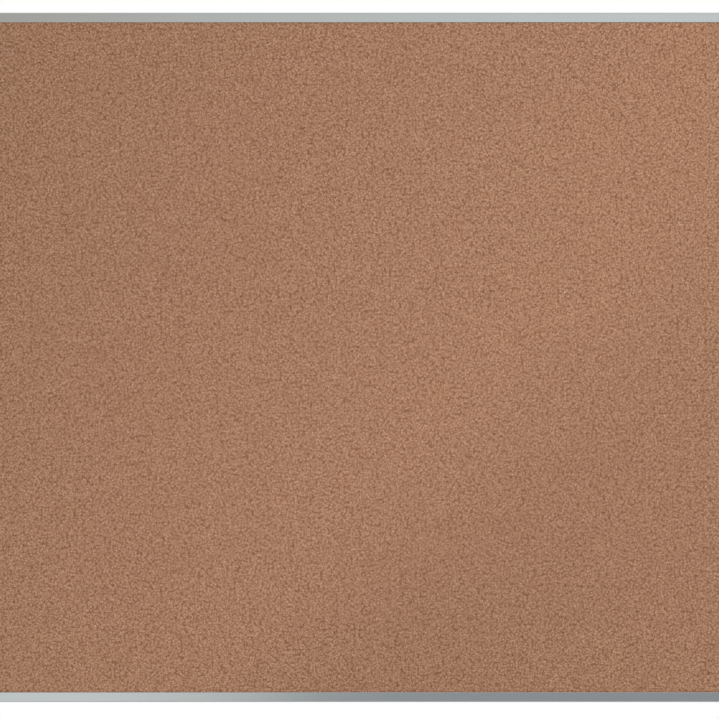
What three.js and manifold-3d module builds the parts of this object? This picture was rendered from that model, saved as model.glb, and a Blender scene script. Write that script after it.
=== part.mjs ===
// Wall-hung cork bulletin board, 4 x 6 ft, in a mitred aluminium frame.
// Millimetres. +X runs to the reader's right, +Z up, and the pinning face looks along -Y.
// The origin is the middle of the board, halfway between its front and the wall.
import * as THREE from "three";
import { mergeVertices } from "three/addons/utils/BufferGeometryUtils.js";
import Module from "manifold-3d";

const wasm = await Module();
wasm.setup();

// ---- Driving dimensions ----

// Outside of the frame
const boardWidth = 1828.8;
const boardHeight = 1219.2;

// Gap kept between two faces that touch, and round a screw in its hole
const touchGap = 0.3;
const threadGap = 0.3;

// Panel, from its front to its back
const corkThickness = 6.35;
const corkSqueeze = 0.6; // how far the frame's lip presses the cork's margin in
const coreThickness = 6.3;
const backThickness = 3.2;
const panelEdgeGap = 1.5; // from the panel's edge to the rail's outer wall

// Rail extrusion, seen in section
const faceWidth = 17.46; // what shows of the rail from the front
const faceThickness = 1.5;
const lipReturn = 0.9; // the face's inner edge is turned back this far, onto the cork
const lipTipWidth = 1.3;
const railWall = 1.5;
const webThickness = 1.3;
const slotWidth = 12;
const slotDepth = 3.95;
const slotMouth = 6.6;
const rearLipThickness = 1.3;
const frontOuterRadius = 1.8;
const frontInnerRadius = 0.6;
const rearOuterRadius = 0.8;
const mitreGap = 0.15; // each mitred end stands back this far from the corner's diagonal

// Corner keys: a tapped angle with grub screws, over a thin bearing shim
const keyLeg = 48;
const keyThickness = 1.6;
const shimThickness = 0.5;
const keyCornerCut = 2;
const keyScrewMouthGap = 0.8; // from a screw's side to the lips of the slot's mouth
const keyScrewPlaces = [24, 40]; // along each leg, from the frame's corner

// Hanger clips: bent steel strip that runs in the rails' rear slots
const hangerWidth = 50;
const hangerThickness = 1.5;
const hangerReach = 33.5; // how far the keyhole plate runs inwards from the bend
const hangerCornerRadius = 5;
const hangerBendRadius = 1.7;
const hangerFromCentre = 609.6; // three stud bays between the left and the right clips
const keyholeRadius = 5;
const keyholeSlotRadius = 2.5;
const keyholeSlotTravel = 7.5; // from the keyhole's centre to each slot end's centre
const hangerScrewMouthGap = 0.4; // from a screw's side to the slot's outer lip and to the clip's bend
const hangerScrewPitch = 30;

// Wall bumpers
const bumperRadius = 6;
const bumperThickness = 2.5;
const bumperEdgeRadius = 1;
const bumperFromCorner = 90;

// Grub screws
const screwChamfer = 0.4;
const screwSlotWidth = 0.9;
const screwSlotDepth = 1;
const screwSetback = 0.4; // the slotted end's distance below the frame's back

// Fineness of round shapes. An outline's arc gets twice its divisions, whatever its angle.
const bendDivisions = 2;
const holeDivisions = 8;
const screwSides = 16;
const bumperSides = 24;

// ---- Depths, counted backwards from the frame's front face ----

const lipBack = faceThickness + lipReturn;
const corkMarginFront = lipBack + touchGap;
const corkFront = corkMarginFront - corkSqueeze;
const corkBack = corkFront + corkThickness;
const coreFront = corkBack + touchGap;
const coreBack = coreFront + coreThickness;
const backFront = coreBack + touchGap;
const backBack = backFront + backThickness;
const webFront = backBack + touchGap;
const slotFloor = webFront + webThickness;
const slotRoof = slotFloor + slotDepth;
const frameBack = slotRoof + rearLipThickness;
const bumperFront = frameBack + touchGap;
const wallPlane = bumperFront + bumperThickness;

// ---- Distances inwards from the frame's outer edge, and what fits the slot's mouth ----

const slotOuter = railWall;
const slotInner = slotOuter + slotWidth;
const slotMiddle = (slotOuter + slotInner) / 2;
const mouthOuter = slotMiddle - slotMouth / 2;
const mouthInner = slotMiddle + slotMouth / 2;
const railInner = slotInner + railWall;
const panelOuter = railWall + panelEdgeGap;
const keyScrewRadius = slotMouth / 2 - keyScrewMouthGap;

const quarterTurn = Math.PI / 2;

// ---- Materials ----

function finish(color, roughness, metalness) {
  return new THREE.MeshStandardMaterial({ color, roughness, metalness });
}

const corkFinish = finish(0xa3795f, 0.95, 0);
const coreFinish = finish(0xa08a68, 0.95, 0);
const backFinish = finish(0x6f4f38, 0.85, 0);
const railFinish = finish(0xb4b9b9, 0.35, 1);
const zincFinish = finish(0xc2c5c8, 0.4, 1);
const blackSteelFinish = finish(0x2a2b2e, 0.5, 1);
const rubberFinish = finish(0x2c2c2c, 0.9, 0);

// ---- Helpers ----

// A closed mesh as a solid for joining and cutting
function solidOf(geometry) {
  const bare = new THREE.BufferGeometry();
  const loose = geometry.index ? geometry.toNonIndexed() : geometry;
  bare.setAttribute("position", loose.getAttribute("position"));
  const merged = mergeVertices(bare, 1e-4);
  return new wasm.Manifold(
    new wasm.Mesh({
      numProp: 3,
      vertProperties: new Float32Array(merged.attributes.position.array),
      triVerts: new Uint32Array(merged.index.array),
    }),
  );
}

function geometryOf(solid) {
  const made = solid.getMesh();
  const geometry = new THREE.BufferGeometry();
  geometry.setAttribute("position", new THREE.BufferAttribute(new Float32Array(made.vertProperties), 3));
  geometry.setIndex(new THREE.BufferAttribute(new Uint32Array(made.triVerts), 1));
  geometry.computeVertexNormals();
  return geometry;
}

function extruded(shape, depth, divisions) {
  return new THREE.ExtrudeGeometry(shape, { depth, bevelEnabled: false, curveSegments: divisions });
}

function part(name, geometry, material, parent, position = [0, 0, 0]) {
  const mesh = new THREE.Mesh(geometry, material);
  mesh.name = name;
  mesh.position.set(...position);
  parent.add(mesh);
  return mesh;
}

// A circular hole for a shape
function roundHole(x, y, radius) {
  return new THREE.Path().absarc(x, y, radius, 0, 2 * Math.PI, true);
}

// Sections are drawn with x inwards from the frame's outer edge and y backwards from its front, then
// extruded. This lays the extrusion along +X, with inwards turned to -Z and backwards to +Y.
const alongRail = new THREE.Matrix4().makeBasis(
  new THREE.Vector3(0, 0, -1),
  new THREE.Vector3(0, 1, 0),
  new THREE.Vector3(1, 0, 0),
);

// Outlines seen from the front are drawn with x along the rail and y outwards, so a distance inwards is
// a negative y. This gives them their thickness backwards, from the depth where they start.
function plate(shape, front, thickness) {
  const geometry = extruded(shape, thickness, holeDivisions);
  geometry.rotateX(quarterTurn);
  geometry.translate(0, front + thickness, 0);
  return geometry;
}

// ---- Panel ----

function slab(inset, front, thickness) {
  const geometry = new THREE.BoxGeometry(boardWidth - 2 * inset, thickness, boardHeight - 2 * inset);
  geometry.translate(0, front + thickness / 2, 0);
  return geometry;
}

// The lip holds the cork's margin down, and the cork inside the frame's opening stands free.
function corkSheet() {
  const squeezed = solidOf(slab(panelOuter, corkMarginFront, corkBack - corkMarginFront));
  const free = solidOf(slab(faceWidth + touchGap, corkFront, corkThickness / 2));
  return geometryOf(squeezed.add(free));
}

// ---- Rails ----

function railSection() {
  const lipTip = faceWidth - lipTipWidth;
  const innerCentre = faceWidth - frontInnerRadius;
  const rearCentre = frameBack - rearOuterRadius;
  const section = new THREE.Shape();
  section.moveTo(frontOuterRadius, 0);
  section.lineTo(innerCentre, 0);
  section.absarc(innerCentre, frontInnerRadius, frontInnerRadius, -quarterTurn, 0, false);
  section.lineTo(faceWidth, lipBack);
  section.lineTo(lipTip, lipBack);
  section.lineTo(lipTip, faceThickness);
  section.lineTo(railWall, faceThickness);
  section.lineTo(railWall, webFront);
  section.lineTo(railInner, webFront);
  section.lineTo(railInner, frameBack);
  section.lineTo(mouthInner, frameBack);
  section.lineTo(mouthInner, slotRoof);
  section.lineTo(slotInner, slotRoof);
  section.lineTo(slotInner, slotFloor);
  section.lineTo(slotOuter, slotFloor);
  section.lineTo(slotOuter, slotRoof);
  section.lineTo(mouthOuter, slotRoof);
  section.lineTo(mouthOuter, frameBack);
  section.lineTo(rearOuterRadius, frameBack);
  section.absarc(rearOuterRadius, rearCentre, rearOuterRadius, quarterTurn, Math.PI, false);
  section.lineTo(0, frontOuterRadius);
  section.absarc(frontOuterRadius, frontOuterRadius, frontOuterRadius, Math.PI, 1.5 * Math.PI, false);
  return section;
}

// Both ends are cut at 45 degrees: the further inwards, the shorter the rail.
function rail(length) {
  const geometry = extruded(railSection(), length, bendDivisions);
  const points = geometry.getAttribute("position");
  for (let i = 0; i < points.count; i++) {
    const cut = points.getX(i) + mitreGap;
    const along = points.getZ(i);
    points.setZ(i, along > length / 2 ? length - cut : cut);
  }
  geometry.applyMatrix4(alongRail);
  geometry.computeVertexNormals();
  return geometry;
}

// ---- Grub screws ----

// The screw's axis is along Y, with its slotted end at the back.
function grubScrew(radius, front) {
  const end = frameBack - screwSetback;
  const profile = [
    [0, front],
    [radius - screwChamfer, front],
    [radius, front + screwChamfer],
    [radius, end - screwChamfer],
    [radius - screwChamfer, end],
    [0, end],
  ];
  const body = new THREE.LatheGeometry(
    profile.map(([x, y]) => new THREE.Vector2(x, y)),
    screwSides,
  );
  const slot = new THREE.BoxGeometry(4 * radius, 2 * screwSlotDepth, screwSlotWidth);
  slot.translate(0, end, 0);
  return geometryOf(solidOf(body).subtract(solidOf(slot)));
}

// ---- Corner keys ----

// An L-shaped outline that fills the rear slots on both sides of a corner
function cornerOutline(holes) {
  const near = slotOuter + touchGap;
  const far = slotInner - touchGap;
  const outline = new THREE.Shape();
  outline.moveTo(near, -near - keyCornerCut);
  outline.lineTo(near, -keyLeg);
  outline.lineTo(far, -keyLeg);
  outline.lineTo(far, -far);
  outline.lineTo(keyLeg, -far);
  outline.lineTo(keyLeg, -near);
  outline.lineTo(near + keyCornerCut, -near);
  outline.closePath();
  if (holes) {
    for (const [x, y] of keyScrewSpots()) {
      outline.holes.push(roundHole(x, y, keyScrewRadius + threadGap));
    }
  }
  return outline;
}

function keyScrewSpots() {
  return [
    ...keyScrewPlaces.map((along) => [along, -slotMiddle]),
    ...keyScrewPlaces.map((along) => [slotMiddle, -along]),
  ];
}

// ---- Hanger clips ----

const hangerTongueStart = slotOuter + touchGap;
const hangerBendInner = mouthInner - touchGap; // the side of the bend that faces the rail's inner lip
const hangerBendOuter = hangerBendInner - hangerThickness;
const hangerEnd = hangerBendOuter + hangerReach;
const hangerTongueBack = slotRoof - touchGap;
const hangerTongueFront = hangerTongueBack - hangerThickness;
const hangerPlateFront = frameBack + touchGap;
const hangerPlateBack = hangerPlateFront + hangerThickness;
const hangerScrewLine = (mouthOuter + hangerBendOuter) / 2;
const hangerScrewRadius = (hangerBendOuter - mouthOuter) / 2 - hangerScrewMouthGap;
const keyholeCentre = (railInner + hangerEnd) / 2; // midway over the part of the plate clear of the rail

// From the side: a tongue under the slot's outer lip, a bend out through the slot's mouth, and a plate
// that lies behind the panel
function hangerSection() {
  const radius = hangerBendRadius;
  const section = new THREE.Shape();
  section.moveTo(hangerTongueStart, hangerTongueFront);
  section.lineTo(hangerBendInner - radius, hangerTongueFront);
  section.absarc(hangerBendInner - radius, hangerTongueFront + radius, radius, -quarterTurn, 0, false);
  section.lineTo(hangerBendInner, hangerPlateFront);
  section.lineTo(hangerEnd, hangerPlateFront);
  section.lineTo(hangerEnd, hangerPlateBack);
  section.lineTo(hangerBendOuter + radius, hangerPlateBack);
  section.absarc(hangerBendOuter + radius, hangerPlateBack - radius, radius, quarterTurn, Math.PI, false);
  section.lineTo(hangerBendOuter, hangerTongueBack);
  section.lineTo(hangerTongueStart, hangerTongueBack);
  section.closePath();
  return section;
}

// A round hole with a narrow slot above and below it, so that the clip hangs either way up
function keyhole() {
  const reach = quarterTurn - Math.asin(keyholeSlotRadius / keyholeRadius); // each side's arc, both ways
  const hole = new THREE.Path();
  hole.absarc(0, -keyholeCentre, keyholeRadius, reach, -reach, true);
  hole.absarc(0, -keyholeCentre - keyholeSlotTravel, keyholeSlotRadius, 0, Math.PI, true);
  hole.absarc(0, -keyholeCentre, keyholeRadius, Math.PI + reach, Math.PI - reach, true);
  hole.absarc(0, -keyholeCentre + keyholeSlotTravel, keyholeSlotRadius, Math.PI, 0, true);
  hole.closePath();
  return hole;
}

// From the front: the clip's outline, with its keyhole and its two screw holes
function hangerOutline() {
  const half = hangerWidth / 2;
  const radius = hangerCornerRadius;
  const outline = new THREE.Shape();
  outline.moveTo(-half, -hangerTongueStart);
  outline.lineTo(-half, -hangerEnd + radius);
  outline.absarc(-half + radius, -hangerEnd + radius, radius, Math.PI, 1.5 * Math.PI, false);
  outline.lineTo(half - radius, -hangerEnd);
  outline.absarc(half - radius, -hangerEnd + radius, radius, 1.5 * Math.PI, 2 * Math.PI, false);
  outline.lineTo(half, -hangerTongueStart);
  outline.closePath();
  outline.holes.push(keyhole());
  for (const side of [-1, 1]) {
    const x = (side * hangerScrewPitch) / 2;
    outline.holes.push(roundHole(x, -hangerScrewLine, hangerScrewRadius + threadGap));
  }
  return outline;
}

function hangerClip() {
  const bent = extruded(hangerSection(), hangerWidth, bendDivisions).applyMatrix4(alongRail);
  bent.translate(-hangerWidth / 2, 0, 0);
  const blank = plate(hangerOutline(), hangerTongueFront, hangerPlateBack - hangerTongueFront);
  return geometryOf(solidOf(bent).intersect(solidOf(blank)));
}

// ---- Bumpers ----

function bumper() {
  const flat = bumperRadius - bumperEdgeRadius;
  const profile = new THREE.Path();
  profile.moveTo(0, bumperFront);
  profile.lineTo(bumperRadius, bumperFront);
  profile.lineTo(bumperRadius, wallPlane - bumperEdgeRadius);
  profile.absarc(flat, wallPlane - bumperEdgeRadius, bumperEdgeRadius, 0, quarterTurn, false);
  profile.lineTo(0, wallPlane);
  return new THREE.LatheGeometry(profile.getPoints(bendDivisions), bumperSides);
}

// ---- Assembly ----

const board = new THREE.Group();
const stack = new THREE.Group(); // its y is the depth behind the frame's front face
stack.position.y = -wallPlane / 2;
board.add(stack);

part("cork_sheet", corkSheet(), corkFinish, stack);
part("fiberboard_core", slab(panelOuter, coreFront, coreThickness), coreFinish, stack);
part("hardboard_back", slab(panelOuter, backFront, backThickness), backFinish, stack);

// Each corner starts one rail, which runs clockwise to the next corner as the reader sees it.
const halfWidth = boardWidth / 2;
const halfHeight = boardHeight / 2;
const corners = [
  { name: "top_left", x: -halfWidth, z: halfHeight, turn: 0, rail: "top", length: boardWidth },
  { name: "top_right", x: halfWidth, z: halfHeight, turn: 1, rail: "right", length: boardHeight },
  { name: "bottom_right", x: halfWidth, z: -halfHeight, turn: 2, rail: "bottom", length: boardWidth },
  { name: "bottom_left", x: -halfWidth, z: -halfHeight, turn: 3, rail: "left", length: boardHeight },
];

const shimFront = slotFloor + touchGap;
const keyScrewFront = shimFront + shimThickness + touchGap;
const keyFront = slotRoof - touchGap - keyThickness;

for (const corner of corners) {
  const here = new THREE.Group();
  here.position.set(corner.x, 0, corner.z);
  here.rotation.y = corner.turn * quarterTurn;
  stack.add(here);

  part(`${corner.rail}_rail`, rail(corner.length), railFinish, here);
  const key = plate(cornerOutline(true), keyFront, keyThickness);
  part(`corner_key_${corner.name}`, key, zincFinish, here);
  const shim = plate(cornerOutline(false), shimFront, shimThickness);
  part(`corner_shim_${corner.name}`, shim, zincFinish, here);
  keyScrewSpots().forEach(([x, y], i) => {
    const name = `corner_screw_${corner.name}_${i + 1}`;
    part(name, grubScrew(keyScrewRadius, keyScrewFront), blackSteelFinish, here, [x, 0, y]);
  });
}

// Clips run in the top and bottom rails' slots. Those in the bottom rail point up.
for (const [edge, upDown] of [["top", 1], ["bottom", -1]]) {
  for (const [side, leftRight] of [["left", -1], ["right", 1]]) {
    const here = new THREE.Group();
    here.position.set(leftRight * hangerFromCentre, 0, upDown * halfHeight);
    here.rotation.y = upDown > 0 ? 0 : Math.PI;
    stack.add(here);

    const name = `hanger_${edge}_${side}`;
    part(`${name}_clip`, hangerClip(), zincFinish, here);
    for (const place of [1, 2]) {
      const x = (place - 1.5) * hangerScrewPitch;
      const screw = grubScrew(hangerScrewRadius, slotFloor + touchGap);
      part(`${name}_screw_${place}`, screw, blackSteelFinish, here, [x, 0, -hangerScrewLine]);
    }
  }
}

// Bumpers bridge the slots' mouths on the side rails, near the corners.
for (const [edge, upDown] of [["top", 1], ["bottom", -1]]) {
  for (const [side, leftRight] of [["left", -1], ["right", 1]]) {
    const place = [leftRight * (halfWidth - slotMiddle), 0, upDown * (halfHeight - bumperFromCorner)];
    part(`bumper_${edge}_${side}`, bumper(), rubberFinish, stack, place);
  }
}

export default board;
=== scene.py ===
import math

import bmesh
import bpy
import numpy as np
from mathutils import Matrix, Vector


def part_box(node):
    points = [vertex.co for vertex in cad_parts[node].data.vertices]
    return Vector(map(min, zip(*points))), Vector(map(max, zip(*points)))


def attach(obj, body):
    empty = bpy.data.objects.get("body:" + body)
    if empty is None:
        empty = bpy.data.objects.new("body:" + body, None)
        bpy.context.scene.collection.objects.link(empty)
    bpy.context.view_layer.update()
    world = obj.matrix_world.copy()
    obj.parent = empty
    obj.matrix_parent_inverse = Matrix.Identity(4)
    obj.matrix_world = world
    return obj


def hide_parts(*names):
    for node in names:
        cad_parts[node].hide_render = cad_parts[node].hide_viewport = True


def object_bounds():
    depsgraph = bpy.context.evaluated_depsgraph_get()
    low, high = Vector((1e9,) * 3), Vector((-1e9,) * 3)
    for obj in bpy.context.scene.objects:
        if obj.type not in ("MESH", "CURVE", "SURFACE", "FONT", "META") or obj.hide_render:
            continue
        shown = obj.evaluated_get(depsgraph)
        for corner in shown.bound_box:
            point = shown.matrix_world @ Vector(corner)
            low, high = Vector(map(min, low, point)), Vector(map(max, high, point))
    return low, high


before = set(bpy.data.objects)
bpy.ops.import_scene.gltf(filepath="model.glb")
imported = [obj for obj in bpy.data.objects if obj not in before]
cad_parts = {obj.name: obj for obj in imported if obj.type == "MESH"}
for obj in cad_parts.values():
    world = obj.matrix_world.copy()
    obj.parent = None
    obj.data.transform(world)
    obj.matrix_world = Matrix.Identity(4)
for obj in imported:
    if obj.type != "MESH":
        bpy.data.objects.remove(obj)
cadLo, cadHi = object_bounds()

# A corkboard for a wall: cork on fiberboard on hardboard, in a mitred aluminium frame.
# x runs to the reader's right, z up, and the cork faces -y. Lengths are in metres unless a note says mm.

scene = bpy.context.scene
mm = 0.001

sides = ["top", "right", "bottom", "left"]
corners = ["top_left", "top_right", "bottom_right", "bottom_left"]
hangers = [f"hanger_{edge}_{side}" for edge in ("top", "bottom") for side in ("left", "right")]
bumpers = [f"bumper_{edge}_{side}" for edge in ("top", "bottom") for side in ("left", "right")]

frontPlane = cadLo.y
halfWidth = cadHi.x
halfHeight = cadHi.z


def middleOf(node):
    lo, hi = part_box(node)
    return (Vector(lo) + Vector(hi)) / 2


def newMesh(name, verts, edges, faces):
    mesh = bpy.data.meshes.new(name)
    mesh.from_pydata(verts, edges, faces)
    return mesh


def newObject(name, mesh):
    obj = bpy.data.objects.new(name, mesh)
    scene.collection.objects.link(obj)
    return obj


def settle(obj):
    # the modifiers' result becomes the piece's own mesh, with one material
    graph = bpy.context.evaluated_depsgraph_get()
    graph.update()
    made = obj.evaluated_get(graph)
    mesh = bpy.data.meshes.new_from_object(made, preserve_all_data_layers=True, depsgraph=graph)
    worn = [material for material in mesh.materials if material]
    mesh.materials.clear()
    for material in worn[:1]:
        mesh.materials.append(material)
    mesh.polygons.foreach_set("material_index", [0] * len(mesh.polygons))
    obj.modifiers.clear()
    obj.data = mesh
    return obj


def smoothBelow(mesh, degrees):
    mesh.polygons.foreach_set("use_smooth", [True] * len(mesh.polygons))
    mesh.set_sharp_from_angle(angle=math.radians(degrees))


def shadeCrisply(obj, degrees):
    # flat faces stay flat in the light, and only the narrow rounded ones between them turn
    smoothBelow(obj.data, degrees)
    weighted = obj.modifiers.new("weighted_normals", "WEIGHTED_NORMAL")
    weighted.keep_sharp = True
    weighted.weight = 100
    return settle(obj)


def gather(obj, body, slotName, *nodes):
    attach(obj, body)
    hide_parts(*nodes)


class Tree:
    # adds nodes to a tree from left to right, and links what it is given
    def __init__(self, tree):
        self.tree = tree
        self.count = 0

    def node(self, kind, **settings):
        node = self.tree.nodes.new(kind)
        node.location = (self.count * 180, 0)
        self.count += 1
        for key, value in settings.items():
            setattr(node, key, value)
        return node

    def feed(self, node, key, value):
        socket = node.inputs[key]
        if isinstance(value, bpy.types.NodeSocket):
            self.tree.links.new(value, socket)
        else:
            socket.default_value = value

    def add(self, kind, inputs, out=0, **settings):
        node = self.node(kind, **settings)
        for key, value in inputs.items():
            self.feed(node, key, value)
        return node.outputs[out]

    def math(self, operation, *values):
        return self.add("ShaderNodeMath", dict(enumerate(values)), operation=operation)

    def vector(self, operation, *values):
        return self.add("ShaderNodeVectorMath", dict(enumerate(values)), operation=operation)

    def join(self, x, y, z):
        return self.add("ShaderNodeCombineXYZ", {0: x, 1: y, 2: z})

    def split(self, vector):
        return self.add("ShaderNodeSeparateXYZ", {0: vector}).node.outputs

    def noise(self, vector, scale, detail, roughness=0.5, out=0):
        given = {"Vector": vector, "Scale": scale, "Detail": detail, "Roughness": roughness}
        return self.add("ShaderNodeTexNoise", given, out)

    def cells(self, vector, scale, out=0, **settings):
        return self.add("ShaderNodeTexVoronoi", {"Vector": vector, "Scale": scale}, out, **settings)

    def bump(self, height, strength, distance):
        given = {"Height": height, "Strength": strength, "Distance": distance}
        return self.add("ShaderNodeBump", given)

    def ramp(self, value, stops, smooth=False):
        node = self.node("ShaderNodeValToRGB")
        node.color_ramp.interpolation = "EASE" if smooth else "LINEAR"
        points = node.color_ramp.elements
        while len(points) < len(stops):
            points.new(0.5)
        for point, (place, colour) in zip(points, stops):
            point.position = place
            point.color = (*colour, 1)
        self.feed(node, 0, value)
        return node.outputs[0]

    def mix(self, share, a, b, blend="MIX"):
        node = self.node("ShaderNodeMix", data_type="RGBA", blend_type=blend)
        self.feed(node, 0, share)
        for key, value in ((6, a), (7, b)):
            self.feed(node, key, (*value, 1) if isinstance(value, tuple) else value)
        return node.outputs[2]


def grey(v):
    return (v, v, v)


def srgb(*levels):
    # an 8-bit screen colour as the linear one that shaders take
    return tuple(((v / 255 + 0.055) / 1.055) ** 2.4 for v in levels)


def startMaterial(name, **fixed):
    material = bpy.data.materials.new(name)
    material.use_nodes = True
    shader = material.node_tree.nodes["Principled BSDF"]
    for key, value in fixed.items():
        shader.inputs[key.replace("_", " ")].default_value = value
    return material, Tree(material.node_tree), shader


def ownPlace(t, stretch=None):
    # the piece's own coordinates, stretched by so much along x, y and z
    place = t.node("ShaderNodeTexCoord").outputs["Object"]
    return t.vector("MULTIPLY", place, stretch) if stretch else place


def startGroup(name, **sizes):
    # a tree with a geometry in and out, and a named input for each size
    nodes = bpy.data.node_groups.new(name, "GeometryNodeTree")
    face = nodes.interface
    face.new_socket("Geometry", in_out="INPUT", socket_type="NodeSocketGeometry")
    for label, kind in sizes.items():
        face.new_socket(label, in_out="INPUT", socket_type=f"NodeSocket{kind}")
    face.new_socket("Geometry", in_out="OUTPUT", socket_type="NodeSocketGeometry")
    t = Tree(nodes)
    return t, t.node("NodeGroupInput").outputs


def endGroup(t, geometry, material):
    whole = t.add("GeometryNodeRealizeInstances", {"Geometry": geometry})
    dressed = t.add("GeometryNodeSetMaterial", {"Geometry": whole, "Material": material})
    t.feed(t.node("NodeGroupOutput"), "Geometry", dressed)
    return t.tree


def useGroup(obj, nodes, **sizes):
    modifier = obj.modifiers.new(nodes.name, "NODES")
    modifier.node_group = nodes
    for item in nodes.interface.items_tree:
        if item.in_out == "INPUT" and item.name in sizes:
            modifier[item.identifier] = sizes[item.name]
    return settle(obj)


corkLook = dict(
    clump=4.5,  # mm across, as are the next two
    granule=2.4,
    crumb=1.4,
    ragged=1.3,  # how far an outline strays, mm
    crumbShare=0.60,  # how much of the colour is the crumbs' and not the granules'
    bark=0.045,  # share of the crumbs that are dark bark, and of those that are clean and pale
    barkGranules=0.02,  # share of the granules that are bark all through
    barkTone=srgb(112, 74, 52),
    paleTone=srgb(206, 166, 136),
    barkGranuleTone=srgb(122, 83, 60),
    drift=600,  # mm over which the sheet's tone wanders
    relief=0.30,  # mm
    rough=0.80,
    tans=[
        (0.00, srgb(124, 82, 58)),
        (0.12, srgb(141, 99, 73)),
        (0.34, srgb(157, 115, 88)),
        (0.62, srgb(168, 126, 98)),
        (0.86, srgb(179, 137, 110)),
        (1.00, srgb(192, 151, 123)),
    ],
    # painted dome shading: the tone goes from a clump's heart, painted as lit bright, out to where it meets
    # the next, painted as shaded dark
    clumpDomeShade=[(0.05, (1.22, 1.30, 1.41)), (0.40, (1.01, 1.015, 1.02)), (0.78, (0.77, 0.72, 0.66))],
)


def corkMaterial():
    look = corkLook
    material, t, shader = startMaterial("pressed_cork", Specular_IOR_Level=0.28)
    spot = ownPlace(t, grey(1 / mm))
    stray = t.vector("SUBTRACT", t.noise(spot, 0.5, 3, 0.6, out=1), grey(0.5))
    ragged = t.vector("ADD", spot, t.vector("MULTIPLY", stray, grey(look["ragged"])))

    granules = t.cells(ragged, 1 / look["granule"], out=1, feature="F1")
    seams = t.cells(ragged, 1 / look["granule"], feature="DISTANCE_TO_EDGE")
    crumbs = t.cells(ragged, 1 / look["crumb"], out=1, feature="F1")
    granuleShade, granuleKind = t.add("ShaderNodeSeparateColor", {0: granules}).node.outputs[:2]
    crumbShade, crumbKind = t.add("ShaderNodeSeparateColor", {0: crumbs}).node.outputs[:2]
    granuleTan = t.ramp(granuleShade, look["tans"])
    colour = t.mix(look["crumbShare"], granuleTan, t.ramp(crumbShade, look["tans"]))

    # bark flecks, clean pale grains, and a few granules that are bark all through
    bark = t.math("LESS_THAN", crumbKind, look["bark"])
    colour = t.mix(t.math("MULTIPLY", bark, 0.75), colour, look["barkTone"])
    pale = t.math("GREATER_THAN", crumbKind, 1 - look["bark"])
    colour = t.mix(t.math("MULTIPLY", pale, 0.45), colour, look["paleTone"])
    allBark = t.math("LESS_THAN", granuleKind, look["barkGranules"])
    colour = t.mix(t.math("MULTIPLY", allBark, 0.4), colour, look["barkGranuleTone"])
    # binder shows dark between the granules
    seamTone = t.ramp(seams, [(0.0, grey(0.80)), (0.07, grey(1.0))], smooth=True)
    colour = t.mix(1.0, colour, seamTone, "MULTIPLY")
    # granules stick together in clumps, and each clump's colour carries painted dome shading, bright in its
    # heart and dark at its rim
    x, _, z = t.split(ragged)
    clumps = t.cells(t.join(x, z, 0.0), 1 / look["clump"], voronoi_dimensions="2D", feature="F1")
    colour = t.mix(1.0, colour, t.ramp(clumps, look["clumpDomeShade"], smooth=True), "MULTIPLY")
    # a slow drift over the sheet, and fibre in every granule
    drift = t.ramp(t.noise(spot, 1 / look["drift"], 4, 0.55), [(0.25, grey(0.98)), (0.75, grey(1.02))])
    colour = t.mix(1.0, colour, drift, "MULTIPLY")
    fibre = t.noise(spot, 1.3, 3, 0.7)
    speck = t.ramp(fibre, [(0.30, grey(0.93)), (0.70, grey(1.06))])
    t.feed(shader, "Base Color", t.mix(1.0, colour, speck, "MULTIPLY"))
    t.feed(shader, "Roughness", t.math("MULTIPLY_ADD", crumbShade, 0.12, look["rough"]))

    domes = t.math("MINIMUM", seams, 0.22)
    height = t.math("MULTIPLY_ADD", domes, 2.2, t.math("MULTIPLY", granuleShade, 0.5))
    height = t.math("MULTIPLY_ADD", crumbShade, 0.22, height)
    height = t.math("MULTIPLY_ADD", clumps, -0.8, height)
    height = t.math("MULTIPLY_ADD", fibre, 0.35, height)
    t.feed(shader, "Normal", t.bump(height, 0.55, look["relief"] * mm))
    return material


corkSheet = dict(
    rows=244,
    columns=370,
    squeezed=2.7 * mm,  # from the frame's face back to the cork that its lip holds down
    rollOver=1.5 * mm,  # width of the strip where the cork dives under the lip
    granule=5.2 * mm,
    grain=0.09 * mm,  # relief of the granules that is really in the mesh
    wave=350 * mm,
    sag=0.25 * mm,  # slow waviness, over that length
    seed=7,
)


def granularSurface(material):
    # lifts and sinks the vertices along y, as far as their "loose" weight lets them
    sizes = dict(Granule="Float", Grain="Float", Wave="Float", Sag="Float", Seed="Int")
    t, given = startGroup("granular_surface", **sizes)
    place = t.node("GeometryNodeInputPosition").outputs[0]
    loose = t.add("GeometryNodeInputNamedAttribute", {"Name": "loose"}, data_type="FLOAT")
    shifted = t.vector("ADD", place, t.join(0.0, t.math("MULTIPLY", given["Seed"], 3.71), 0.0))
    granules = t.cells(shifted, t.math("DIVIDE", 1.0, given["Granule"]), out=1, feature="F1")
    shade = t.add("FunctionNodeSeparateColor", {0: granules})
    grain = t.math("MULTIPLY", t.math("SUBTRACT", shade, 0.5), given["Grain"])
    slow = t.noise(shifted, t.math("DIVIDE", 1.0, given["Wave"]), 2)
    sag = t.math("MULTIPLY", t.math("SUBTRACT", slow, 0.5), given["Sag"])
    lift = t.math("MULTIPLY", t.math("ADD", grain, sag), loose)
    lifted = {"Geometry": given["Geometry"], "Offset": t.join(0.0, lift, 0.0)}
    return endGroup(t, t.add("GeometryNodeSetPosition", lifted), material)


def gridLines(limit, opening, steps, rollOver):
    # even lines over the open part, closer ones where the cork dives under the lip, and the sheet's edge
    inner = opening - rollOver
    dive = inner + rollOver * np.array([0.25, 0.5, 0.75, 1.0])
    half = np.concatenate([dive, [(opening + limit) / 2, limit]])
    return np.concatenate([-half[::-1], np.linspace(-inner, inner, steps), half])


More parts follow.
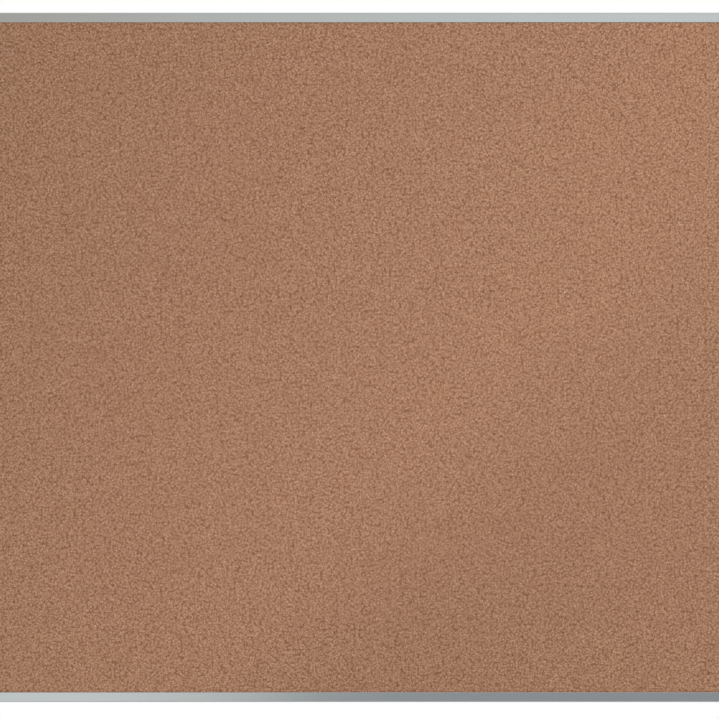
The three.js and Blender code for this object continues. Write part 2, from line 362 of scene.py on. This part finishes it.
def buildCork():
    size = corkSheet
    lo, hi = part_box("cork_sheet")
    free, back = lo[1], hi[1]
    pressed = frontPlane + size["squeezed"]
    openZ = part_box("top_rail")[0][2]  # the lip's free edge, as a height
    openX = halfWidth - (halfHeight - openZ)
    xs = gridLines(hi[0], openX, size["columns"], size["rollOver"])
    zs = gridLines(hi[2], openZ, size["rows"], size["rollOver"])
    gx, gz = np.meshgrid(xs, zs)
    inward = np.minimum(openX - np.abs(gx), openZ - np.abs(gz))
    loose = np.clip(inward / size["rollOver"], 0, 1)
    loose = loose * loose * (3 - 2 * loose)
    gy = pressed + (free - pressed) * loose
    front = np.stack([gx, gy, gz], -1).reshape(-1, 3)

    index = np.arange(gx.size).reshape(gx.shape)
    quads = [index[:-1, :-1], index[:-1, 1:], index[1:, 1:], index[1:, :-1]]
    quads = np.stack(quads, -1).reshape(-1, 4)
    # the front's rim is carried back to close the sheet
    rim = np.concatenate([index[0, :-1], index[:-1, -1], index[-1, :0:-1], index[:0:-1, 0]])
    rear = front[rim].copy()
    rear[:, 1] = back
    ring = np.arange(len(rim)) + len(front)
    after = np.roll(np.arange(len(rim)), -1)
    walls = np.stack([rim[after], rim, ring, ring[after]], -1)
    faces = quads.tolist() + walls.tolist() + [ring[::-1].tolist()]
    mesh = newMesh("cork_sheet_surface", np.concatenate([front, rear]).tolist(), [], faces)
    weight = mesh.attributes.new("loose", "FLOAT", "POINT")
    weights = np.concatenate([loose.ravel(), np.zeros(len(rim))]).astype(np.float32)
    weight.data.foreach_set("value", weights)

    cork = newObject("cork_sheet_surface", mesh)
    sizes = {key.capitalize(): size[key] for key in ("granule", "grain", "wave", "sag", "seed")}
    useGroup(cork, granularSurface(corkMaterial()), **sizes)
    smoothBelow(cork.data, 60)
    gather(cork, "board", "cork", "cork_sheet")


def fiberboardMaterial():
    material, t, shader = startMaterial("soft_fiberboard", Roughness=0.95, Specular_IOR_Level=0.2)
    felt = t.noise(ownPlace(t, (300, 2600, 300)), 1.0, 6, 0.7)  # felted in thin layers, back to front
    tones = [(0.25, srgb(128, 108, 80)), (0.5, srgb(160, 138, 104)), (0.75, srgb(188, 168, 134))]
    t.feed(shader, "Base Color", t.ramp(felt, tones))
    t.feed(shader, "Normal", t.bump(felt, 0.5, 0.4 * mm))
    return material


hardboardBack = dict(
    weave=1.9,  # pitch of the screen's wires, mm
    fibre=0.75,  # fibres to the mm, and bundles and clouds of them
    bundle=0.12,
    cloud=0.006,
    relief=0.2,  # mm
    browns=[(0.25, srgb(86, 59, 41)), (0.5, srgb(116, 83, 59)), (0.75, srgb(150, 113, 83))],
)


def hardboardMaterial():
    look = hardboardBack
    material, t, shader = startMaterial("screen_backed_hardboard", Specular_IOR_Level=0.32)
    spot = ownPlace(t, grey(1 / mm))
    # the wire screen that the wet board was pressed on leaves a fine square weave
    x, _, z = t.split(spot)
    across, upward = (t.math("SINE", t.math("MULTIPLY", v, math.tau / look["weave"])) for v in (x, z))
    screen = t.math("MULTIPLY", across, upward)
    fibres = t.noise(spot, look["fibre"], 6, 0.68)
    colour = t.ramp(fibres, look["browns"])
    bundles = t.ramp(t.noise(spot, look["bundle"], 3, 0.6), [(0.3, grey(0.92)), (0.7, grey(1.06))])
    colour = t.mix(1.0, colour, bundles, "MULTIPLY")
    cloudTones = [(0.3, (0.95, 0.945, 0.94)), (0.7, (1.05, 1.045, 1.04))]
    clouds = t.ramp(t.noise(spot, look["cloud"], 4, 0.6), cloudTones)
    colour = t.mix(1.0, colour, clouds, "MULTIPLY")
    weave = t.ramp(t.math("MULTIPLY_ADD", screen, 0.5, 0.5), [(0.0, grey(0.84)), (1.0, grey(1.08))])
    t.feed(shader, "Base Color", t.mix(1.0, colour, weave, "MULTIPLY"))
    t.feed(shader, "Roughness", t.math("MULTIPLY_ADD", fibres, 0.25, 0.6))
    height = t.math("MULTIPLY_ADD", screen, 0.5, t.math("MULTIPLY", fibres, 0.7))
    t.feed(shader, "Normal", t.bump(height, 0.6, look["relief"] * mm))
    return material


def dressPanel():
    # the two boards behind the cork keep their plain shape
    boards = dict(fiberboard_core=fiberboardMaterial(), hardboard_back=hardboardMaterial())
    for node, material in boards.items():
        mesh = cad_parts[node].data
        mesh.materials.clear()
        mesh.materials.append(material)


aluminiumLook = dict(
    dieLines=(5200, 5200, 9),  # to the metre: inwards, backwards and along the rail
    clouds=(60, 60, 14),
    fine=2400,
    rough=0.085,
    relief=0.01,  # mm
)


def aluminiumMaterial():
    # "railSpot" is a rail's own coordinates: x inwards, y backwards and z along
    look = aluminiumLook
    material, t, shader = startMaterial("satin_anodised_aluminium", Metallic=1.0)
    spot = t.node("ShaderNodeAttribute", attribute_name="railSpot").outputs["Vector"]
    dieLines = t.noise(t.vector("MULTIPLY", spot, look["dieLines"]), 1.0, 4, 0.65)
    clouds = t.noise(t.vector("MULTIPLY", spot, look["clouds"]), 1.0, 3)
    fine = t.noise(t.vector("MULTIPLY", spot, grey(look["fine"])), 1.0, 2)
    colour = t.ramp(dieLines, [(0.3, (0.70, 0.725, 0.735)), (0.7, (0.76, 0.785, 0.79))])
    tone = t.ramp(clouds, [(0.3, grey(0.98)), (0.7, grey(1.0))])
    t.feed(shader, "Base Color", t.mix(1.0, colour, tone, "MULTIPLY"))
    rough = t.math("MULTIPLY_ADD", dieLines, 0.06, look["rough"])
    t.feed(shader, "Roughness", t.math("MULTIPLY_ADD", fine, 0.03, rough))
    height = t.math("MULTIPLY_ADD", fine, 0.35, dieLines)
    t.feed(shader, "Normal", t.bump(height, 0.06, look["relief"] * mm))
    return material


railSection = dict(
    face=1.5 * mm,
    lipReturn=0.9 * mm,
    lipTip=1.3 * mm,
    wall=1.5 * mm,
    web=1.3 * mm,
    slotWidth=12 * mm,
    slotMouth=6.6 * mm,
    rearLip=1.3 * mm,
    gap=0.3 * mm,  # from the hardboard to the web
    mitreGap=0.15 * mm,
    frontOuter=1.8 * mm,  # the edges' radii, from here on
    frontInner=0.6 * mm,
    rearOuter=0.8 * mm,
    broken=0.2 * mm,
    inside=0.1 * mm,
)


def railOutline():
    # (x, y, radius) points, with x inwards from the frame's edge and y backwards from its face
    s = railSection
    lo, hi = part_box("top_rail")
    depth, faceWidth = hi[1] - lo[1], hi[2] - lo[2]
    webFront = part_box("hardboard_back")[1][1] + s["gap"] - lo[1]
    lipBack = s["face"] + s["lipReturn"]
    lipTip = faceWidth - s["lipTip"]
    slotFloor = webFront + s["web"]
    slotRoof = depth - s["rearLip"]
    slotInner = s["wall"] + s["slotWidth"]
    railInner = slotInner + s["wall"]
    middle = s["wall"] + s["slotWidth"] / 2
    mouthOuter = middle - s["slotMouth"] / 2
    mouthInner = middle + s["slotMouth"] / 2
    broken, inside = s["broken"], s["inside"]
    return [
        (0, 0, s["frontOuter"]),
        (faceWidth, 0, s["frontInner"]),
        (faceWidth, lipBack, broken),
        (lipTip, lipBack, broken),
        (lipTip, s["face"], inside),
        (s["wall"], s["face"], inside),
        (s["wall"], webFront, inside),
        (railInner, webFront, broken),
        (railInner, depth, broken),
        (mouthInner, depth, broken),
        (mouthInner, slotRoof, broken),
        (slotInner, slotRoof, inside),
        (slotInner, slotFloor, inside),
        (s["wall"], slotFloor, inside),
        (s["wall"], slotRoof, inside),
        (mouthOuter, slotRoof, broken),
        (mouthOuter, depth, broken),
        (0, depth, s["rearOuter"]),
    ]


def roundedOutline(points, steps=5):
    # each corner becomes an arc of its radius
    outline = []
    for i, (x, y, radius) in enumerate(points):
        here = Vector((x, y))
        before = (Vector(points[i - 1][:2]) - here).normalized()
        beyond = (Vector(points[(i + 1) % len(points)][:2]) - here).normalized()
        half = math.acos(before.dot(beyond)) / 2
        reach = radius / math.tan(half)
        centre = here + (before + beyond).normalized() * (radius / math.sin(half))
        start = here + before * reach - centre
        end = here + beyond * reach - centre
        turn = math.atan2(start.x * end.y - start.y * end.x, start.dot(end))
        for k in range(steps + 1):
            c, s = math.cos(turn * k / steps), math.sin(turn * k / steps)
            outline.append((centre.x + start.x * c - start.y * s, centre.y + start.x * s + start.y * c))
    return outline


def mitredRail(material):
    # fills a flat outline, draws it out to a length, and slants both ends by 45 degrees
    t, given = startGroup("mitred_rail", Length="Float", MitreGap="Float")
    loop = t.add("GeometryNodeMeshToCurve", {0: given["Geometry"]})
    cap = t.add("GeometryNodeFillCurve", {"Curve": loop}, mode="NGONS")
    along = t.join(0.0, 0.0, given["Length"])
    pull = {"Mesh": cap, "Offset": along, "Offset Scale": 1.0, "Individual": False}
    drawn = t.add("GeometryNodeExtrudeMesh", pull, mode="FACES")
    startCap = t.add("GeometryNodeFlipFaces", {"Mesh": cap})
    both = t.node("GeometryNodeJoinGeometry")
    t.feed(both, 0, drawn)
    t.feed(both, 0, startCap)
    closed = t.add("GeometryNodeMergeByDistance", {"Geometry": both.outputs[0], "Distance": 1e-6})
    x, _, z = t.split(t.node("GeometryNodeInputPosition").outputs[0])
    share = t.math("DIVIDE", z, given["Length"])
    sense = t.math("MULTIPLY_ADD", share, -2.0, 1.0)  # 1 at the start, -1 at the end
    cut = t.math("MULTIPLY", t.math("ADD", x, given["MitreGap"]), sense)
    slanted = t.add("GeometryNodeSetPosition", {"Geometry": closed, "Offset": t.join(0.0, 0.0, cut)})
    ownSpot = t.node("GeometryNodeInputPosition").outputs[0]
    spotted = {"Geometry": slanted, "Name": "railSpot", "Value": ownSpot}
    kept = t.add("GeometryNodeStoreNamedAttribute", spotted, data_type="FLOAT_VECTOR", domain="POINT")
    return endGroup(t, kept, material)


def buildRails():
    nodes = mitredRail(aluminiumMaterial())
    outline = roundedOutline(railOutline())
    verts = [(x, y, 0) for x, y in outline]
    edges = [(i, (i + 1) % len(outline)) for i in range(len(outline))]
    # a rail starts at its corner and runs clockwise, as the reader sees it, to the next
    starts = dict(
        top=(-halfWidth, halfHeight),
        right=(halfWidth, halfHeight),
        bottom=(halfWidth, -halfHeight),
        left=(-halfWidth, -halfHeight),
    )
    lay = Matrix(((0, 0, 1, 0), (0, 1, 0, 0), (-1, 0, 0, 0), (0, 0, 0, 1)))  # inwards is -z, along is +x
    for quarter, side in enumerate(sides):
        name = f"{side}_rail_extrusion"
        rail = newObject(name, newMesh(name, verts, edges, []))
        length = 2 * (halfWidth if side in ("top", "bottom") else halfHeight)
        useGroup(rail, nodes, Length=length, MitreGap=railSection["mitreGap"])
        x, z = starts[side]
        turn = Matrix.Rotation(quarter * math.pi / 2, 4, "Y")
        rail.data.transform(Matrix.Translation((x, frontPlane, z)) @ turn @ lay)
        shadeCrisply(rail, 30)
        gather(rail, "board", "anodised_aluminium", f"{side}_rail")


def zincMaterial():
    material, t, shader = startMaterial("bright_zinc_plate", Metallic=1.0)
    place = ownPlace(t)
    spangle = t.noise(place, 420, 4, 0.6)
    rolled = t.noise(t.vector("MULTIPLY", place, (120, 900, 3600)), 1.0, 3)
    tones = [(0.3, (0.50, 0.53, 0.56)), (0.55, (0.60, 0.62, 0.63)), (0.75, (0.66, 0.66, 0.63))]
    t.feed(shader, "Base Color", t.ramp(spangle, tones))
    t.feed(shader, "Roughness", t.math("MULTIPLY_ADD", rolled, 0.28, 0.24))
    height = t.math("MULTIPLY_ADD", rolled, 0.6, spangle)
    t.feed(shader, "Normal", t.bump(height, 0.2, 0.04 * mm))
    return material


stampedEdges = dict(
    clip=0.22 * mm,
    key=0.18 * mm,
    shim=0.08 * mm,
    segments=2,
    sharperThan=38,  # degrees between the faces of an edge that is rounded over
)


def softened(node, name, radius, material):
    # a copy of a plain sheet-metal node with its stamped edges rounded over
    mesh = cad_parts[node].data.copy()
    mesh.name = name
    work = bmesh.new()
    work.from_mesh(mesh)
    bmesh.ops.remove_doubles(work, verts=work.verts, dist=2e-6)
    bmesh.ops.dissolve_limit(work, angle_limit=math.radians(1), verts=work.verts, edges=work.edges)
    work.to_mesh(mesh)
    work.free()
    mesh.materials.clear()
    mesh.materials.append(material)
    piece = newObject(name, mesh)
    bevel = piece.modifiers.new("broken_edges", "BEVEL")
    bevel.width = radius
    bevel.segments = stampedEdges["segments"]
    bevel.limit_method = "ANGLE"
    bevel.angle_limit = math.radians(stampedEdges["sharperThan"])
    bevel.use_clamp_overlap = True
    settle(piece)
    return shadeCrisply(piece, 32)


def buildSheetMetal():
    zinc = zincMaterial()
    for hanger in hangers:
        clip = softened(f"{hanger}_clip", f"{hanger}_bent_clip", stampedEdges["clip"], zinc)
        gather(clip, hanger, "zinc_plated_steel", f"{hanger}_clip")
    for corner in corners:
        key = softened(f"corner_key_{corner}", f"corner_angle_{corner}", stampedEdges["key"], zinc)
        gather(key, "board", "zinc_plated_steel", f"corner_key_{corner}")
        shim = softened(f"corner_shim_{corner}", f"bearing_shim_{corner}", stampedEdges["shim"], zinc)
        gather(shim, "board", "zinc_plated_steel", f"corner_shim_{corner}")


def blackSteelMaterial():
    material, t, shader = startMaterial("black_oxide_steel", Metallic=1.0)
    mottle = t.noise(ownPlace(t), 900, 5, 0.65)
    tones = [(0.3, grey(0.035)), (0.6, (0.055, 0.056, 0.06)), (0.8, (0.13, 0.12, 0.11))]
    t.feed(shader, "Base Color", t.ramp(mottle, tones))
    t.feed(shader, "Roughness", t.math("MULTIPLY_ADD", mottle, 0.3, 0.3))
    t.feed(shader, "Normal", t.bump(mottle, 0.25, 0.03 * mm))
    return material


grubScrew = dict(
    sides=24,
    ringsPerTurn=4,
    pitch=0.8 * mm,
    threadDepth=0.28 * mm,
    chamfer=0.4 * mm,
    slotWidth=0.9 * mm,
    slotDepth=1.0 * mm,
    seed=11,
)


def slotCutter(radius, length):
    # a bar across the screw's driven end
    size = grubScrew
    mesh = bpy.data.meshes.new("slot_cutter")
    work = bmesh.new()
    bmesh.ops.create_cube(work, size=1)
    bmesh.ops.scale(work, vec=(4 * radius, 2 * size["slotDepth"], size["slotWidth"]), verts=work.verts)
    bmesh.ops.translate(work, vec=(0, length, 0), verts=work.verts)
    work.to_mesh(mesh)
    work.free()
    return newObject("slot_cutter", mesh)


def screwBlank(radius, length):
    # a threaded rod from y 0 to y length, slotted at y length
    size = grubScrew
    count = size["sides"]
    rings = round(length / size["pitch"] * size["ringsPerTurn"])
    verts, faces = [], []
    for k in range(rings + 1):
        y = length * k / rings
        ease = min(1, min(y, length - y) / size["chamfer"])
        for i in range(count):
            turn = i / count
            phase = (y / size["pitch"] - turn) % 1
            groove = size["threadDepth"] * abs(2 * phase - 1)
            r = radius - max(groove, (1 - ease) * size["chamfer"])
            verts.append((r * math.cos(turn * math.tau), y, r * math.sin(turn * math.tau)))
    for k in range(rings):
        for i in range(count):
            j = (i + 1) % count
            a, b = k * count, (k + 1) * count
            faces.append((a + i, b + i, b + j, a + j))
    faces.append(tuple(range(count)))
    faces.append(tuple(reversed(range(rings * count, (rings + 1) * count))))
    rod = newObject("screw_blank", newMesh("screw_blank", verts, [], faces))
    cutter = slotCutter(radius, length)
    cut = rod.modifiers.new("slot", "BOOLEAN")
    cut.operation = "DIFFERENCE"
    cut.solver = "EXACT"
    cut.object = cutter
    settle(rod)
    bpy.data.objects.remove(cutter)
    return rod


def drivenScrews(material):
    # puts a screw on each point, each turned its own way about y
    t, given = startGroup("driven_screws", Screw="Object", Seed="Int")
    screw = t.add("GeometryNodeObjectInfo", {"Object": given["Screw"]}, out="Geometry")
    anyTurn = {"Min": 0.0, "Max": math.tau, "Seed": given["Seed"]}
    turn = t.add("FunctionNodeRandomValue", anyTurn, out=1, data_type="FLOAT")
    driven = {"Points": given["Geometry"], "Instance": screw, "Rotation": t.join(0.0, turn, 0.0)}
    return endGroup(t, t.add("GeometryNodeInstanceOnPoints", driven), material)


def buildScrews():
    nodes = drivenScrews(blackSteelMaterial())

    def screwSet(name, body, screwNodes, seed):
        lo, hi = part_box(screwNodes[0])
        blank = screwBlank((hi[0] - lo[0]) / 2, hi[1] - lo[1])
        middles = [middleOf(node) for node in screwNodes]
        screws = newObject(name, newMesh(name, [(p.x, lo[1], p.z) for p in middles], [], []))
        useGroup(screws, nodes, Screw=blank, Seed=seed)
        bpy.data.objects.remove(blank)
        smoothBelow(screws.data, 35)
        gather(screws, body, "blackened_steel", *screwNodes)

    atCorners = [f"corner_screw_{corner}_{i}" for corner in corners for i in (1, 2, 3, 4)]
    screwSet("corner_grub_screws", "board", atCorners, grubScrew["seed"])
    for k, hanger in enumerate(hangers, 1):
        inClip = [f"{hanger}_screw_{i}" for i in (1, 2)]
        screwSet(f"{hanger}_grub_screws", hanger, inClip, grubScrew["seed"] + k)


def rubberMaterial():
    material, t, shader = startMaterial("moulded_rubber", Specular_IOR_Level=0.35)
    bloom = t.noise(ownPlace(t), 300, 5, 0.6)
    t.feed(shader, "Base Color", t.ramp(bloom, [(0.3, grey(0.018)), (0.7, (0.045, 0.044, 0.042))]))
    t.feed(shader, "Roughness", t.math("MULTIPLY_ADD", bloom, 0.25, 0.55))
    t.feed(shader, "Normal", t.bump(bloom, 0.3, 0.05 * mm))
    return material


bumperPad = dict(
    sides=48,
    edge=1.0 * mm,  # radius round the flat end, and the rings that make it
    edgeRings=8,
    base=0.25 * mm,  # bevel round the glued end
    # a moulded dimple in the flat end: radius and depth, from its rim to its middle
    dimple=[(2.4 * mm, 0), (2.2 * mm, 0.25 * mm), (0, 0.35 * mm)],
)


def lathed(name, profile, count, centre):
    # spins (radius, y) points, from one end of the axis to the other, round a line along y
    rings = profile[1:-1]
    verts = [(centre.x, profile[0][1], centre.z)]
    for r, y in rings:
        for i in range(count):
            angle = math.tau * i / count
            verts.append((centre.x + r * math.cos(angle), y, centre.z + r * math.sin(angle)))
    last = len(verts)
    verts.append((centre.x, profile[-1][1], centre.z))
    top = 1 + (len(rings) - 1) * count  # the last ring's first vertex
    faces = []
    for i in range(count):
        j = (i + 1) % count
        faces.append((0, 1 + i, 1 + j))
        for a in range(1, top, count):
            faces.append((a + i, a + count + i, a + count + j, a + j))
        faces.append((top + i, last, top + j))
    return newObject(name, newMesh(name, verts, [], faces))


def buildBumpers():
    size = bumperPad
    edge, base = size["edge"], size["base"]
    material = rubberMaterial()
    for node in bumpers:
        lo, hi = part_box(node)
        front, back = lo[1], hi[1]
        radius = (hi[0] - lo[0]) / 2
        profile = [(0, front), (radius - base, front), (radius, front + base)]
        for a in np.linspace(0, math.pi / 2, size["edgeRings"]):
            profile.append((radius - edge + edge * math.cos(a), back - edge + edge * math.sin(a)))
        profile += [(r, back - depth) for r, depth in size["dimple"]]
        pad = lathed(f"{node}_pad", profile, size["sides"], middleOf(node))
        pad.data.materials.append(material)
        smoothBelow(pad.data, 40)
        gather(pad, "board", "bumper_rubber", node)


view = dict(
    lens=100,  # mm, as is the sensor
    sensor=36,
    spanned=1.2709,  # how much of the board the camera takes in, at its front
    lower=0.0038,  # the camera's height below the board's middle
)


def buildCamera():
    data = bpy.data.cameras.new("camera")
    data.lens = view["lens"]
    data.sensor_width = view["sensor"]
    camera = newObject("camera", data)
    distance = view["spanned"] * view["lens"] / view["sensor"]
    camera.location = (0, frontPlane - distance, -view["lower"])
    camera.rotation_euler = (math.pi / 2, 0, 0)
    scene.camera = camera


lamps = dict(
    boxes=dict(
        right=dict(place=(2.0, -3.0, 1.1), width=1.4, power=67),
        lower=dict(place=(0.28, -3.0, -0.8), width=1.4, power=35),
        behind=dict(place=(0.6, 3.2, 1.8), width=2.0, power=95),
    ),
    # a lamp whose cone just misses the lower right corner, with a soft edge
    grazing=dict(
        place=(-0.5, -2.6, -0.9),
        aim=(-3.5, 0, 3.44),
        cone=2.264,
        blend=0.129,
        radius=0.12,
        power=39.5,
    ),
)


def placeLamp(name, kind, place, aim, power):
    data = bpy.data.lights.new(name, kind)
    data.energy = power
    lamp = newObject(name, data)
    lamp.location = place
    lamp.rotation_euler = (Vector(aim) - Vector(place)).to_track_quat("-Z", "Y").to_euler()
    lamp.visible_camera = False
    lamp.visible_glossy = False
    return data


def buildLamps():
    for name, box in lamps["boxes"].items():
        placeLamp(name, "AREA", box["place"], (0, 0, 0), box["power"]).size = box["width"]
    grazing = lamps["grazing"]
    spot = placeLamp("grazing", "SPOT", grazing["place"], grazing["aim"], grazing["power"])
    spot.spot_size = grazing["cone"]
    spot.spot_blend = grazing["blend"]
    spot.shadow_soft_size = grazing["radius"]


surroundings = dict(
    ambient=0.303,
    cardTurns=1.6,  # how fast its tones follow one another
    cardEdge=[(0.72, grey(0)), (0.90, grey(1))],
    room=[(0.0, grey(0.60)), (0.40, grey(0.58)), (0.55, grey(0.60)), (0.75, grey(0.66)), (1.0, grey(0.68))],
    card=[
        (0.10, (0.342, 0.353, 0.370)),
        (0.31, (0.328, 0.345, 0.362)),
        (0.349, (0.262, 0.279, 0.294)),
        (0.368, (0.690, 0.705, 0.685)),
        (0.41, (0.655, 0.672, 0.654)),
        (0.45, (0.765, 0.787, 0.777)),
        (0.51, (0.734, 0.754, 0.752)),
        (0.70, (0.630, 0.652, 0.638)),
        (0.79, (0.586, 0.595, 0.570)),
        (0.84, (0.527, 0.500, 0.466)),
        (0.90, (0.455, 0.424, 0.396)),
    ],
)


def buildSurroundings():
    # white where the camera looks past the board, an even grey as a lamp, and in the metal a studio:
    # a pale ceiling, a duller floor, and in front of the board a bright card that leans to the upper right
    scene.view_settings.view_transform = "Standard"
    world = bpy.data.worlds.new("studio")
    scene.world = world
    world.use_nodes = True
    t = Tree(world.node_tree)
    ray = t.node("ShaderNodeLightPath").outputs
    x, y, z = t.split(t.node("ShaderNodeTexCoord").outputs["Generated"])
    room = t.ramp(t.math("MULTIPLY_ADD", z, 0.5, 0.5), surroundings["room"], smooth=True)
    slant = surroundings["cardTurns"] * math.sqrt(0.5)
    acrossCard = t.math("MULTIPLY_ADD", t.math("SUBTRACT", z, x), slant, 0.5)
    card = t.ramp(acrossCard, surroundings["card"])
    inFront = t.ramp(t.math("MULTIPLY", y, -1.0), surroundings["cardEdge"], smooth=True)
    mirrored = t.mix(inFront, room, card)
    light = t.mix(ray["Is Glossy Ray"], grey(surroundings["ambient"]), mirrored)
    t.feed(world.node_tree.nodes["Background"], 0, t.mix(ray["Is Camera Ray"], light, grey(1)))


floorSheet = dict(
    drop=0.85,  # below the board
    halfWidth=4.5,
    near=-5.0,
    far=4.4,
    glow=0.45,
)


def buildFloor():
    size = floorSheet
    x, near, far, z = size["halfWidth"], size["near"], size["far"], -halfHeight - size["drop"]
    rim = [(-x, near, z), (x, near, z), (x, far, z), (-x, far, z)]
    glow = dict(Emission_Color=(1, 1, 1, 1), Emission_Strength=size["glow"])
    material, t, shader = startMaterial("pale_floor", Roughness=0.7, **glow)
    haze = t.noise(ownPlace(t), 3.0, 2)
    t.feed(shader, "Base Color", t.ramp(haze, [(0.3, grey(0.80)), (0.7, grey(0.83))]))
    floor = newObject("studio_floor", newMesh("studio_floor", rim, [], [(0, 1, 2, 3)]))
    floor.data.materials.append(material)
    # it lights nothing and isn't mirrored in the metal
    floor.visible_glossy = False
    floor.visible_diffuse = False


buildCamera()
print("camera set")
buildCork()
print("cork made")
dressPanel()
print("boards behind it dressed")
buildRails()
print("rails mitred")
buildSheetMetal()
buildScrews()
buildBumpers()
print("fittings made")
buildLamps()
buildSurroundings()
buildFloor()
print("studio lit")
